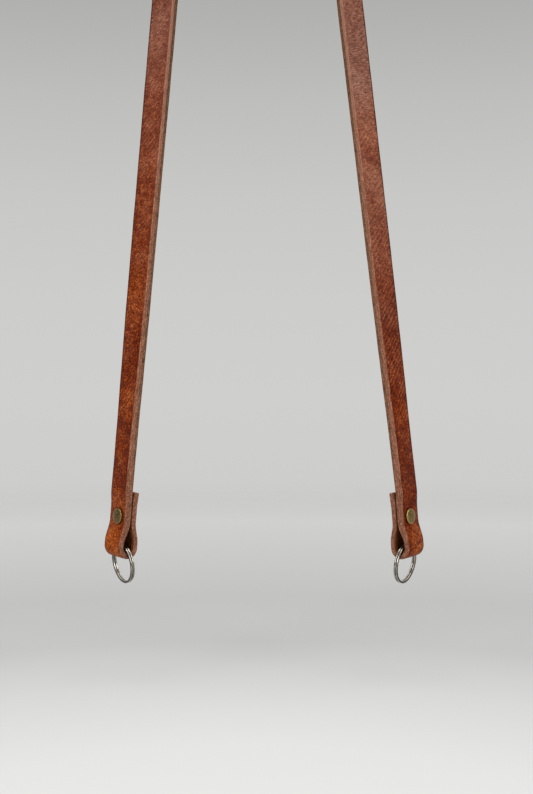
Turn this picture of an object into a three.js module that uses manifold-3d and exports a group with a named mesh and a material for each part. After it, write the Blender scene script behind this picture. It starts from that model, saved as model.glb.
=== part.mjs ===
// A leather neck strap: one long band with a folded, riveted eye and a split ring at each end.
// Millimetres, +Z up, the strap hanging from the underside of its top bend, its front towards -Y.

import * as THREE from 'three';
import { mergeVertices } from 'three/addons/utils/BufferGeometryUtils.js';
import Module from 'manifold-3d';

const wasm = await Module();
wasm.setup();

// The band
const STRAP_WIDTH = 15;
const STRAP_THICKNESS = 4.5;
const GRAIN_BEVEL = 0.5; // off the corners of the smooth outer face
const FLESH_BEVEL = 0.3; // off the corners of the rough inner face

// The loop that the band makes as it hangs
const CROWN_RADIUS = 28; // middle of the leather, over the neck
const DROP = 490; // from the centre of the crown to the bottoms of the two folds
const END_SPREAD = 156; // between the two folds, across
const SWAY = 6.9; // how far the pair of ends hangs to the right of the crown

// The folded end, whose heights are taken up from the bottom of its bend
const FOLD_SLOPE = 4.6; // degrees from plumb, a little less than the run above it
const FLAP_HEIGHT = 34.6; // top of the end that is folded back
const RIVET_HEIGHT = 21.8;
const PRESSED_THICKNESS = 4; // the outer layer, from the rivet down to the bend
const FLAP_THICKNESS = 3.1; // the flap, pared thinner
const EYE_WIDTH = 4.4; // inside the eye, between its two walls
const EYE_SHOULDER = 2.3; // straight stretch of the eye's walls above its round bottom
const EYE_BEVEL = 1.6; // off the corners that the ring rubs round, inside the eye
const PINCH_DIP = 0.4; // how far the pressed layer lies inside the line of the run
const RUN_BLEND = 9; // length over which the pressed layer comes back to the line of the run
const LAYER_GAP = 0.3; // between the two layers
const FLAP_SPLAY = 0.5; // how far the free end of the flap stands off the run

// The double-cap rivet
const CAP_DIAMETER = 8.4;
const CAP_HEIGHT = 1.1;
const CAP_RIM = 0.45;
const RIVET_SHIFT = 1.1; // from the middle of the band towards its front edge
const POST_DIAMETER = 2;
const TUBE_WALL = 0.35;
const SEAT_MARGIN = 1.5; // how far inside the lower edge of the cap its flat seat may end

// The split ring, two turns of one flat wire
const RING_DIAMETER = 21.6; // outside
const WIRE_DEPTH = 1.2; // along the radius
const WIRE_BREADTH = 1.05; // along the ring's axis
const WIRE_BEVEL = 0.3;
const TURN_GAP = 0.1; // between the two turns of the wire
const RING_CLEARANCE = 0.9; // under the wire where it passes the edges of the band, inside the eye
const RING_YAW = 4; // degrees that the ring stands turned in its eye
const RING_SWING = 12; // degrees that the ring hangs swung towards the other end
const STEP_ANGLE = 20; // degrees that the wire takes to cross over to its second turn
const SPLIT_ANGLE = 4; // degrees that the crossing lies above the front of the ring

// Clearance between neighbouring pieces
const PART_GAP = 0.3;

// Meshing
const RUN_STEP = 9;
const FOLD_STEP = 1.5;
const CROWN_STEPS = 9;
const BEND_STEPS = 14;
const RING_STEPS = 32; // in one turn
const ROUND_SIDES = 24;
const CAP_STEPS = 5;
const HOLE_SIDES = 16;
const MERGE_DISTANCE = 1e-5;

// How far the band is turned about its own length, so that its outer face looks partly to the front.
// along: share of the way from the bottom of the fold to the crown; turn: degrees
const TURNS = [
  { along: 0.0, turn: 39 },
  { along: 0.09, turn: 39 },
  { along: 0.25, turn: 47.5 },
  { along: 0.4, turn: 51 },
  { along: 0.55, turn: 54 },
  { along: 0.75, turn: 30 },
  { along: 0.92, turn: 0 },
  { along: 1.0, turn: 0 },
];

const LEATHER = new THREE.MeshStandardMaterial({ color: 0x84452a, roughness: 0.55, metalness: 0 });
const BRASS = new THREE.MeshStandardMaterial({ color: 0x75653d, roughness: 0.42, metalness: 1 });
const NICKEL = new THREE.MeshStandardMaterial({ color: 0xb9b4aa, roughness: 0.28, metalness: 1 });

const { degToRad, lerp, smoothstep } = THREE.MathUtils;

const crownCentre = -(CROWN_RADIUS - STRAP_THICKNESS / 2);
const foldBottom = crownCentre - DROP;
const foldMiddle = -(PINCH_DIP + (PRESSED_THICKNESS + LAYER_GAP) / 2);
const bendHeight = (EYE_WIDTH + PRESSED_THICKNESS + FLAP_THICKNESS) / 2;
const seatBottom = RIVET_HEIGHT - CAP_DIAMETER / 2 + SEAT_MARGIN;
const seatTop = RIVET_HEIGHT + CAP_DIAMETER / 2;
const runStart = seatTop + RUN_BLEND;

// The ring's centre under the centre of the bend, so that the wire clears the bevelled edges of the band
const wireAtEdge = Math.sqrt((RING_DIAMETER / 2 - WIRE_DEPTH) ** 2 - (STRAP_WIDTH / 2) ** 2);
const ringDrop = wireAtEdge + EYE_WIDTH / 2 + EYE_BEVEL - RING_CLEARANCE;

// A line that leans towards the other run: its lowest point, its way up and its way out
function lineFrame(side, slope, origin) {
  const up = new THREE.Vector3(-side * Math.sin(slope), 0, Math.cos(slope));
  const out = new THREE.Vector3(side * Math.cos(slope), 0, Math.sin(slope));
  return { origin, up, out };
}

// One half of the strap: a straight run that meets the crown, and the fold that hangs from it
function endFrame(side) {
  const reach = END_SPREAD / 2 + side * SWAY;
  const toCrown = Math.hypot(reach, DROP);
  const slope = Math.asin(reach / toCrown) - Math.asin(CROWN_RADIUS / toCrown);
  const runLength = Math.sqrt(toCrown ** 2 - CROWN_RADIUS ** 2);
  const crownAngle = Math.PI / 2 - slope;
  const run = lineFrame(side, slope, new THREE.Vector3(side * reach, 0, foldBottom));
  const knee = run.origin.clone().addScaledVector(run.up, runStart);
  const fold = lineFrame(side, degToRad(FOLD_SLOPE), new THREE.Vector3());
  fold.origin.copy(knee).addScaledVector(fold.up, -runStart);
  return { side, run, fold, runLength, crownAngle, halfLength: runLength + CROWN_RADIUS * crownAngle };
}

// A smooth line through the rows of the turn table
function turnAt(along) {
  const last = TURNS.length - 2;
  const k = Math.min(last, TURNS.findLastIndex((row) => row.along <= along));
  const row = (i) => TURNS[Math.min(TURNS.length - 1, Math.max(0, i))];
  const rise = (i, j) => (row(j).turn - row(i).turn) / (row(j).along - row(i).along);
  const slopeAt = (i) => {
    const before = i > 0 ? rise(i - 1, i) : 0;
    const after = i <= last ? rise(i, i + 1) : 0;
    return before * after > 0 ? (2 * before * after) / (before + after) : 0;
  };
  const span = row(k + 1).along - row(k).along;
  const t = (along - row(k).along) / span;
  const eased = t * t * (3 - 2 * t);
  const tangents = span * (t * (1 - t) ** 2 * slopeAt(k) - t * t * (1 - t) * slopeAt(k + 1));
  return degToRad(lerp(row(k).turn, row(k + 1).turn, eased) + tangents);
}

// The band's grain and across directions where it is turned and its plain outer face would look out
function turned(out, turn) {
  const back = new THREE.Vector3(0, 1, 0);
  const grain = out.clone().multiplyScalar(Math.cos(turn)).addScaledVector(back, -Math.sin(turn));
  const across = out.clone().multiplyScalar(-Math.sin(turn)).addScaledVector(back, -Math.cos(turn));
  return { grain, across };
}

// Stations: the middle of the leather, its grain and across directions, and its thickness
function crownStations(end) {
  return Array.from({ length: CROWN_STEPS + 1 }, (_, i) => {
    const angle = (end.crownAngle * i) / CROWN_STEPS;
    const out = new THREE.Vector3(end.side * Math.sin(angle), 0, Math.cos(angle));
    const point = new THREE.Vector3(0, 0, crownCentre).addScaledVector(out, CROWN_RADIUS);
    const turn = turnAt(1 - (CROWN_RADIUS * angle) / end.halfLength);
    return { point, ...turned(out, turn), thickness: STRAP_THICKNESS };
  });
}

function runStations(end) {
  const length = end.runLength - runStart;
  const steps = Math.ceil(length / RUN_STEP);
  return Array.from({ length: steps }, (_, i) => {
    const height = end.runLength - (length * (i + 1)) / steps;
    const point = end.run.origin.clone().addScaledVector(end.run.up, height);
    const turn = turnAt(height / end.halfLength);
    return { point, ...turned(end.run.out, turn), thickness: STRAP_THICKNESS };
  });
}

// Inner face of each layer off the middle of the fold, at a height: wide at the eye, close at the rivet
function innerFace(height) {
  return lerp(EYE_WIDTH, LAYER_GAP, smoothstep(height, bendHeight + EYE_SHOULDER, seatBottom)) / 2;
}

function innerBevel(height) {
  return lerp(EYE_BEVEL, FLESH_BEVEL, smoothstep(height, bendHeight, seatBottom));
}

// The fold as rows of sideways place (along the grain direction), height and thickness:
// down the outer layer, around the bend and up the flap
function foldPath() {
  const levels = (from, to) => {
    const count = Math.ceil(Math.abs(to - from) / FOLD_STEP);
    return Array.from({ length: count }, (_, i) => lerp(from, to, (i + 1) / count));
  };
  const outer = [...levels(runStart, seatTop), ...levels(seatTop, bendHeight)].map((height) => {
    const back = smoothstep(height, seatTop, runStart);
    return {
      place: lerp(foldMiddle + innerFace(height) + PRESSED_THICKNESS / 2, 0, back),
      height,
      thickness: lerp(PRESSED_THICKNESS, STRAP_THICKNESS, back),
      fleshBevel: innerBevel(height),
    };
  });
  const bend = Array.from({ length: BEND_STEPS }, (_, i) => {
    const share = (i + 1) / BEND_STEPS;
    const thickness = lerp(PRESSED_THICKNESS, FLAP_THICKNESS, share);
    const radius = (EYE_WIDTH + thickness) / 2;
    return {
      place: foldMiddle + radius * Math.cos(Math.PI * share),
      height: bendHeight - radius * Math.sin(Math.PI * share),
      thickness,
      fleshBevel: EYE_BEVEL,
    };
  });
  const flap = [...levels(bendHeight, seatTop), ...levels(seatTop, FLAP_HEIGHT)].map((height) => {
    const splay = FLAP_SPLAY * smoothstep(height, seatTop, FLAP_HEIGHT);
    return {
      place: foldMiddle - innerFace(height) - FLAP_THICKNESS / 2 - splay,
      height,
      thickness: FLAP_THICKNESS,
      fleshBevel: innerBevel(height),
    };
  });
  return [...outer, ...bend, ...flap];
}

function foldStations(end) {
  const path = foldPath();
  const { origin, up, out } = end.fold;
  const { grain, across } = turned(out, turnAt(0));
  return path.map((here, i) => {
    const before = path[Math.max(i - 1, 0)];
    const after = path[Math.min(i + 1, path.length - 1)];
    const step = new THREE.Vector2(after.place - before.place, after.height - before.height).normalize();
    const point = origin.clone().addScaledVector(grain, here.place).addScaledVector(up, here.height);
    const outward = grain.clone().multiplyScalar(-step.y).addScaledVector(up, step.x);
    return { ...here, point, grain: outward, across };
  });
}

// The band's section, flat on both faces with its corners taken off
function strapSection({ point, grain, across, thickness, fleshBevel = FLESH_BEVEL }) {
  const half = STRAP_WIDTH / 2;
  const face = thickness / 2;
  const corners = [
    [face, half - GRAIN_BEVEL],
    [face - GRAIN_BEVEL, half],
    [fleshBevel - face, half],
    [-face, half - fleshBevel],
    [-face, fleshBevel - half],
    [fleshBevel - face, -half],
    [face - GRAIN_BEVEL, -half],
    [face, GRAIN_BEVEL - half],
  ];
  return corners.map(([n, w]) => point.clone().addScaledVector(grain, n).addScaledVector(across, w));
}

// A closed body through rings of points, each with the same number of points
function loft(rings) {
  const sides = rings[0].length;
  const at = (ring, i) => ring * sides + (i % sides);
  const faces = [];
  for (let r = 0; r + 1 < rings.length; r += 1) {
    for (let i = 0; i < sides; i += 1) {
      faces.push(at(r, i), at(r, i + 1), at(r + 1, i + 1), at(r, i), at(r + 1, i + 1), at(r + 1, i));
    }
  }
  const last = rings.length - 1;
  for (let i = 1; i + 1 < sides; i += 1) {
    faces.push(at(0, 0), at(0, i + 1), at(0, i), at(last, 0), at(last, i), at(last, i + 1));
  }
  return new THREE.BufferGeometry().setFromPoints(rings.flat()).setIndex(faces);
}

function toSolid(geometry) {
  const bare = geometry.clone();
  bare.deleteAttribute('normal');
  bare.deleteAttribute('uv');
  const merged = mergeVertices(bare, MERGE_DISTANCE);
  return new wasm.Manifold(new wasm.Mesh({
    numProp: 3,
    vertProperties: new Float32Array(merged.attributes.position.array),
    triVerts: new Uint32Array(merged.index.array),
  }));
}

function toGeometry(solid) {
  const { vertProperties, triVerts } = solid.getMesh();
  const geometry = new THREE.BufferGeometry();
  geometry.setAttribute('position', new THREE.BufferAttribute(vertProperties, 3));
  return geometry.setIndex(new THREE.BufferAttribute(triVerts, 1));
}

function named(name, geometry, material) {
  geometry.computeVertexNormals();
  const mesh = new THREE.Mesh(geometry, material);
  mesh.name = name;
  return mesh;
}

// The rivet's own sizes, from the leather that it holds
const outerFace = foldMiddle + LAYER_GAP / 2 + PRESSED_THICKNESS;
const flapFace = foldMiddle - LAYER_GAP / 2 - FLAP_THICKNESS;
const grip = outerFace - flapFace + 2 * PART_GAP; // between the undersides of the two caps
const tubeBore = POST_DIAMETER / 2 + PART_GAP;
const tubeRadius = tubeBore + TUBE_WALL;
const holeRadius = tubeRadius + PART_GAP;

// Domed cap from its middle to its rim and back under it, facing +Y with its underside at y = 0
function capProfile() {
  const radius = CAP_DIAMETER / 2;
  const dome = CAP_HEIGHT - CAP_RIM;
  const sphere = (radius ** 2 + dome ** 2) / (2 * dome);
  const reach = Math.asin(radius / sphere);
  const arc = Array.from({ length: CAP_STEPS + 1 }, (_, i) => {
    const angle = (reach * i) / CAP_STEPS;
    return new THREE.Vector2(sphere * Math.sin(angle), CAP_HEIGHT - sphere * (1 - Math.cos(angle)));
  });
  return [...arc, new THREE.Vector2(radius, 0)];
}

function rivetCapGeometry() {
  const post = POST_DIAMETER / 2;
  const end = -(grip - PART_GAP);
  const profile = [...capProfile(), new THREE.Vector2(post, 0), new THREE.Vector2(post, end)];
  profile.push(new THREE.Vector2(0, end));
  return new THREE.LatheGeometry(profile.reverse(), ROUND_SIDES);
}

function rivetBaseGeometry() {
  const mouth = -(grip - PART_GAP);
  const profile = [
    ...capProfile(),
    new THREE.Vector2(tubeRadius, 0),
    new THREE.Vector2(tubeRadius, mouth),
    new THREE.Vector2(tubeBore, mouth),
    new THREE.Vector2(tubeBore, 0),
    new THREE.Vector2(0, 0),
  ];
  return new THREE.LatheGeometry(profile.reverse(), ROUND_SIDES);
}

// Group whose +X is the fold's grain direction and +Z its way up, with its origin under the bend
function endGroup(end) {
  const { origin, up, out } = end.fold;
  const { grain } = turned(out, turnAt(0));
  const basis = new THREE.Matrix4().makeBasis(grain, up.clone().cross(grain), up);
  const group = new THREE.Group();
  group.position.copy(origin);
  group.quaternion.setFromRotationMatrix(basis);
  return group;
}

// The rivet's place along the band's width, in the end's group, whose +Y looks back on the right side
function rivetPlace(end) {
  return -end.side * RIVET_SHIFT;
}

function rivet(end, label) {
  const cap = named(`${label}_rivet_cap`, rivetCapGeometry(), BRASS);
  cap.rotation.z = -Math.PI / 2;
  cap.position.set(outerFace + PART_GAP, rivetPlace(end), RIVET_HEIGHT);
  const base = named(`${label}_rivet_base`, rivetBaseGeometry(), BRASS);
  base.rotation.z = Math.PI / 2;
  base.position.set(flapFace - PART_GAP, rivetPlace(end), RIVET_HEIGHT);
  return [cap, base];
}

function rivetHole(end) {
  const length = 2 * grip;
  const hole = new THREE.CylinderGeometry(holeRadius, holeRadius, length, HOLE_SIDES);
  hole.rotateZ(Math.PI / 2);
  return hole.translate((outerFace + flapFace) / 2, rivetPlace(end), RIVET_HEIGHT);
}

// Two turns of flat wire about X that cross over once, the split facing +Y at angle 0
function splitRingGeometry() {
  const middle = (RING_DIAMETER - WIRE_DEPTH) / 2;
  const pitch = WIRE_BREADTH + TURN_GAP;
  const half = new THREE.Vector2(WIRE_BREADTH / 2, WIRE_DEPTH / 2);
  const corners = [
    [half.x, half.y - WIRE_BEVEL],
    [half.x - WIRE_BEVEL, half.y],
    [WIRE_BEVEL - half.x, half.y],
    [-half.x, half.y - WIRE_BEVEL],
    [-half.x, WIRE_BEVEL - half.y],
    [WIRE_BEVEL - half.x, -half.y],
    [half.x - WIRE_BEVEL, -half.y],
    [half.x, WIRE_BEVEL - half.y],
  ];
  const crossing = degToRad(STEP_ANGLE);
  const endGap = TURN_GAP / middle;
  const sweep = 4 * Math.PI - crossing - endGap;
  const steps = 2 * RING_STEPS;
  const rings = Array.from({ length: steps + 1 }, (_, i) => {
    const angle = (sweep * i) / steps;
    const shift = pitch * (smoothstep(angle, 2 * Math.PI - crossing - endGap, 2 * Math.PI - endGap) - 0.5);
    return corners.map(([axial, radial]) => {
      const radius = middle + radial;
      return new THREE.Vector3(shift + axial, radius * Math.cos(angle), radius * Math.sin(angle));
    });
  });
  return loft(rings);
}

// The ring turned so that its crossing faces the front, hung on an axle through the middle of the bend
function splitRing(end, label) {
  const ring = named(`${label}_split_ring`, splitRingGeometry(), NICKEL);
  const crossing = degToRad(STEP_ANGLE / 2 + end.side * -SPLIT_ANGLE);
  ring.rotation.order = 'ZXY';
  ring.rotation.z = end.side * degToRad(RING_YAW);
  ring.rotation.x = end.side > 0 ? Math.PI + crossing : crossing;
  ring.position.set(0, 0, -ringDrop);
  const axle = new THREE.Group();
  axle.position.set(foldMiddle, 0, bendHeight);
  axle.rotation.y = degToRad(RING_SWING);
  axle.add(ring);
  return axle;
}

const ends = { left: endFrame(-1), right: endFrame(1) };

function halfBand(end) {
  return [...runStations(end), ...foldStations(end)];
}

function leatherStrap(groups) {
  const rightCrown = crownStations(ends.right);
  const leftCrown = crownStations(ends.left).slice(1);
  const left = [...leftCrown, ...halfBand(ends.left)].reverse();
  const stations = [...left, ...rightCrown, ...halfBand(ends.right)];
  let band = toSolid(loft(stations.map(strapSection)));
  for (const [label, group] of Object.entries(groups)) {
    group.updateMatrixWorld(true);
    band = band.subtract(toSolid(rivetHole(ends[label]).applyMatrix4(group.matrixWorld)));
  }
  return named('leather_strap', toGeometry(band), LEATHER);
}

const endGroups = { left: endGroup(ends.left), right: endGroup(ends.right) };
for (const [label, group] of Object.entries(endGroups)) {
  group.add(...rivet(ends[label], label), splitRing(ends[label], label));
}
const strap = new THREE.Group();
strap.add(leatherStrap(endGroups), endGroups.left, endGroups.right);

export default strap;
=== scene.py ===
"""Looks of a leather camera strap: the grained band, its two riveted folds and its two split rings.

Sizes are in millimetres until a mesh is made, and every piece lies where the frame has it.
"""

import math

import bmesh
import bpy
import numpy as np
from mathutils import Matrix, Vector


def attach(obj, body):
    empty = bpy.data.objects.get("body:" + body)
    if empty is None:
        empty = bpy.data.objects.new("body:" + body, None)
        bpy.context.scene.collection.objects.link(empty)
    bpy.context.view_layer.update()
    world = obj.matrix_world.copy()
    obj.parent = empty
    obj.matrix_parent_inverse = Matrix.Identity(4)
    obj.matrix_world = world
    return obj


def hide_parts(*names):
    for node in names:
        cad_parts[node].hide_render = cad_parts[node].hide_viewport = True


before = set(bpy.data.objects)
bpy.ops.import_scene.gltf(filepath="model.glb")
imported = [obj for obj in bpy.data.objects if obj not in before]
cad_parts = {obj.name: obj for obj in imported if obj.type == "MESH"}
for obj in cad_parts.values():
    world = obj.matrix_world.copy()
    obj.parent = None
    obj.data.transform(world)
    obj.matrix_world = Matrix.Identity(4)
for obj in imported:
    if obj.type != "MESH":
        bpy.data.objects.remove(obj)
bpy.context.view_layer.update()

MM = 0.001

# The band
BAND_WIDTH = 15.0
BAND_THICKNESS = 4.5
GRAIN_ROUND = 0.9  # of the burnished corners of the smooth face
FLESH_ROUND = 0.4
GRAIN_POWER, FLESH_POWER = 2.0, 1.25  # of the superellipses that those corners follow
# How squarely the outline faces out or in where the cut edge gives way to each face
GRAIN_FACING, FLESH_FACING = (0.7, 1.0), (0.45, 0.95)
END_ROUND = 0.3  # round the cut end of the flap

# The loop
CROWN_RADIUS = 28.0
DROP = 490.0
END_SPREAD = 156.0
SWAY = 6.9

# The fold, in heights over the bottom of its bend
FOLD_SLOPE = math.radians(4.6)
FLAP_HEIGHT = 34.6
RIVET_HEIGHT = 21.8
PRESSED_THICKNESS = 4.0
FLAP_THICKNESS = 3.1
EYE_WIDTH = 4.4
EYE_SHOULDER = 2.3
EYE_ROUND = 1.9
PINCH_DIP = 0.4
RUN_BLEND = 9.0
LAYER_GAP = 0.3
FLAP_SPLAY = 0.5

# The rivet
CAP_DIAMETER = 8.4
CAP_HEIGHT = 1.1
RIVET_SHIFT = 1.1
POST_DIAMETER = 2.0
TUBE_WALL = 0.35
SEAT_MARGIN = 1.5
PART_GAP = 0.3
RIM_ROLL = 0.42  # radius of the cap's turned-over rim
RIM_DEPTH = 0.62  # of the cap's height, the part below its dome
RIM_TURN = math.radians(150.0)  # how far round the rim turns over
RIM_TUCK = 0.55  # how far the rim draws in under the cap
STEM_CHAMFER = 0.2
MOAT_DEPTH = 0.2  # how deep the leather is pressed in round the cap
MOAT_WIDTH = 0.75
MOAT_INSET = 0.1
LIP_HEIGHT = 0.1  # of the leather that swells beyond it
LIP_WIDTH = 1.2 * MOAT_WIDTH
LIP_OFFSET = 2.0
FLAT_SHARES = (0.6, 0.9)  # of the cap's radius, where the flat leather under it ends
TARNISH = {-1: 0.6, 1: 0.0}  # of each side's rivet

# The split ring
RING_DIAMETER = 21.6
WIRE_DEPTH = 1.2
WIRE_BREADTH = 1.05
TURN_GAP = 0.1
RING_CLEARANCE = 0.9
EYE_BEVEL = 1.6
RING_YAW = 4.0
RING_SWING = 12.0
STEP_ANGLE = math.radians(20.0)
SPLIT_ANGLE = math.radians(4.0)
WIRE_ROUND = 0.16  # of the wire's cut ends
WIRE_POWER = 3.4  # of the superellipse that its section follows
WIRE_RADIUS = 0.55  # of the round wire that the pattern is laid out for
END_LEAN = 0.85 * STEP_ANGLE  # how far the outer side of a cut end reaches past its inner side

# How far the hide strays from the plain shape, with the wavelengths and seed of each wander
FACE_WANDER, FACE_WAVES = 0.05, ((61, 37, 23), 3)
EDGE_WANDER, EDGE_WAVES = 0.07, ((83, 47, 29, 17), 5)
UNEVENNESS, UNEVEN_WAVES = 0.03, ((9.0, 6.1, 14.3), 11)
WAVE_SLANT = 1.7  # of the unevenness, along the band for each step across
WANDER_START = 30.0  # from the rivet's seat up to where the wander is whole
CROWNING = 0.1  # how far the smooth face falls away at its long edges

# Share of the way from the bottom of the fold to the crown, and the band's turn about its own length there
TURN_SHARES = np.array([0.0, 0.09, 0.25, 0.4, 0.55, 0.75, 0.92, 1.0])
TURN_DEGREES = np.array([39.0, 39.0, 47.5, 51.0, 54.0, 30.0, 0.0, 0.0])

# Where the finish has darkened or been rubbed to orange; low on each bend the orange is also a painted glow of light
# from the floor.
# Each row has a side, a height, the half length of the bell curve, and how much it lightens, below nought for dark.
PATCHES_AND_GLOW = np.array([
    (-1, 6, 12, 1.7), (-1, 30, 6, 0.5), (-1, 44, 7, -0.9), (-1, 55, 6, 0.1), (-1, 66, 7, -0.4), (-1, 83, 7, 0.5),
    (-1, 100, 9, -0.5), (-1, 112, 9, -0.3), (-1, 139, 12, 1.0), (-1, 163, 10, -0.1), (-1, 190, 9, 0.2),
    (-1, 224, 15, -0.3), (-1, 300, 20, -0.5), (-1, 380, 30, 0.5), (-1, 450, 22, -0.5),
    (1, 5, 11, 0.5), (1, 32, 9, -0.5), (1, 46, 9, -1.1), (1, 62, 9, -0.8), (1, 76, 6, 0.2), (1, 90, 9, -0.7),
    (1, 105, 6, -0.3), (1, 124, 14, -1.0), (1, 164, 9, 0.1), (1, 190, 12, 0.5), (1, 205, 8, 0.5), (1, 222, 9, 1.0),
    (1, 240, 8, 0.6), (1, 276, 10, -0.9), (1, 330, 24, 0.5), (1, 405, 24, -0.5), (1, 480, 25, 0.4),
])
# Where the smooth face has creased, in rows of the same kind
CREASES = np.array([
    (-1, 220, 13, 0.5), (-1, 258, 20, 0.2), (-1, 164, 14, 0.2), (-1, 90, 12, 0.4), (-1, 340, 30, 0.5),
    (-1, 440, 30, 0.7),
    (1, 120, 22, 1.0), (1, 168, 14, 0.6), (1, 84, 26, 0.7), (1, 225, 25, 0.35), (1, 320, 30, 0.6), (1, 420, 40, 0.5),
])
# Painted sheen: how hazed, paler and pinkish each side's run is painted, growing up towards the light overhead:
# heights, and the share at each
PAINTED_SHEEN = {
    -1: ((100, 135, 164, 190, 230, 250, 265, 290, 420),
         (0.03, 0.12, 0.12, 0.18, 0.28, 0.42, 0.56, 0.62, 0.8)),
    1: ((85, 111, 137, 164, 190, 216, 228, 245, 262, 276, 290),
        (0.05, 0.2, 0.27, 0.42, 0.56, 0.54, 0.58, 0.85, 0.95, 0.74, 0.85)),
}

# Meshing
CROWN_CELLS = 44
RUN_CELLS = 370
FOLD_CELLS = 56
BEND_CELLS = 44
FACE_CELLS = 24
EDGE_CELLS = 9
CORNER_CELLS = 4
BLEND_CELLS = 15  # where the run turns into the fold
FLAP_CELLS = 13  # from the seat of the rivet to the flap's end
END_CELLS = 3
HOLE_REACH = 5  # cells from the middle of a rivet hole to the edge of its patch
CAP_CELLS = (22, 12, 80)  # down the dome, round the rim and round the axis
WIRE_CELLS = (340, 28, 4)  # along the wire, round it and over each cut end
FLOOR_CELLS = (30, 96)

CROWN_CENTRE = -(CROWN_RADIUS - BAND_THICKNESS / 2)
FOLD_BOTTOM = CROWN_CENTRE - DROP
FOLD_MIDDLE = -(PINCH_DIP + (PRESSED_THICKNESS + LAYER_GAP) / 2)
BEND_HEIGHT = (EYE_WIDTH + PRESSED_THICKNESS + FLAP_THICKNESS) / 2
SEAT_BOTTOM = RIVET_HEIGHT - CAP_DIAMETER / 2 + SEAT_MARGIN
SEAT_TOP = RIVET_HEIGHT + CAP_DIAMETER / 2
RUN_START = SEAT_TOP + RUN_BLEND
OUTER_FACE = FOLD_MIDDLE + LAYER_GAP / 2 + PRESSED_THICKNESS
FLAP_FACE = FOLD_MIDDLE - LAYER_GAP / 2 - FLAP_THICKNESS
HOLE_RADIUS = POST_DIAMETER / 2 + PART_GAP + TUBE_WALL + PART_GAP
SIDES = {"left": -1, "right": 1}


def lerp(a, b, t):
    """Value so far along from a to b."""
    return a + (b - a) * t


def smoothstep(x, low, high):
    """Nought below one value, one above the other, and between them three times the square less twice the cube."""
    t = np.clip((np.asarray(x, float) - low) / (high - low), 0.0, 1.0)
    return t * t * (3.0 - 2.0 * t)


def hump(x, middle, width):
    """A bell curve: e to the minus square of the distance from the middle over the width."""
    return np.exp(-(((x - middle) / width) ** 2))


def end_inset(from_end, radius):
    """How far a rounded end draws in, so far from its tip: the radius less the height of a circle at that place."""
    past = np.clip(radius - from_end, 0, radius)
    return radius - np.sqrt(np.clip(radius**2 - past**2, 0, None))


def turn_at(share):
    """Turn of the band, in radians: a cubic through the table whose slope at each row is the harmonic mean of the
    slopes beside it, or nought where they differ in sign, so that it never overshoots a row."""
    rise = np.diff(TURN_DEGREES) / np.diff(TURN_SHARES)
    before, after = np.append(0.0, rise), np.append(rise, 0.0)
    both = before * after > 0
    slope = np.where(both, 2 * before * after / np.where(both, before + after, 1.0), 0.0)
    k = np.clip(np.searchsorted(TURN_SHARES, share, side="right") - 1, 0, len(rise) - 1)
    gap = TURN_SHARES[k + 1] - TURN_SHARES[k]
    t = (share - TURN_SHARES[k]) / gap
    level = lerp(TURN_DEGREES[k], TURN_DEGREES[k + 1], t * t * (3 - 2 * t))
    return np.radians(level + gap * (t * (1 - t) ** 2 * slope[k] - t * t * (1 - t) * slope[k + 1]))


def turned(out, turn):
    """Directions of the smooth face and of the front edge: the outward direction turned towards the front."""
    turn = np.asarray(turn)[..., None]
    back = np.array([0.0, 1.0, 0.0])
    return np.cos(turn) * out - np.sin(turn) * back, -np.sin(turn) * out - np.cos(turn) * back


class Half:
    """Where one half of the band lies: its straight run, which leaves the crown's circle as a tangent, and the frame of
    the fold under it, which leans less."""

    def __init__(self, side):
        self.side = side
        reach = END_SPREAD / 2 + side * SWAY
        to_crown = math.hypot(reach, DROP)
        slope = math.asin(reach / to_crown) - math.asin(CROWN_RADIUS / to_crown)
        self.run_length = math.sqrt(to_crown**2 - CROWN_RADIUS**2)
        self.crown_angle = math.pi / 2 - slope
        self.length = self.run_length + CROWN_RADIUS * self.crown_angle
        self.run_origin = np.array([side * reach, 0.0, FOLD_BOTTOM])
        self.run_up, self.run_out = self.leaning(slope)
        self.fold_up, fold_out = self.leaning(FOLD_SLOPE)
        self.fold_origin = self.run_origin + RUN_START * (self.run_up - self.fold_up)
        self.grain, self.across = turned(fold_out, turn_at(0.0))

    def leaning(self, slope):
        """Upward and outward directions of a line that leans inward by the slope."""
        up = np.array([-self.side * math.sin(slope), 0.0, math.cos(slope)])
        return up, np.array([self.side * math.cos(slope), 0.0, math.sin(slope)])

    def place(self, outward, forward, height):
        """Point of the fold's frame: so far along the smooth face's direction, to the front edge and up."""
        parts = np.stack(np.broadcast_arrays(outward, forward, height), axis=-1)
        return self.fold_origin + parts @ np.array([self.grain, self.across, self.fold_up])


HALVES = {name: Half(side) for name, side in SIDES.items()}


def inner_face(height):
    """Inner face of each layer off the middle of the fold: wide at the eye, close at the rivet."""
    return lerp(EYE_WIDTH, LAYER_GAP, smoothstep(height, BEND_HEIGHT + EYE_SHOULDER, SEAT_BOTTOM)) / 2


def inner_round(height):
    """Rounding of each layer's inner corners: full at the eye and slight at the rivet."""
    return lerp(EYE_ROUND, FLESH_ROUND, smoothstep(height, BEND_HEIGHT, SEAT_BOTTOM))


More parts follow.
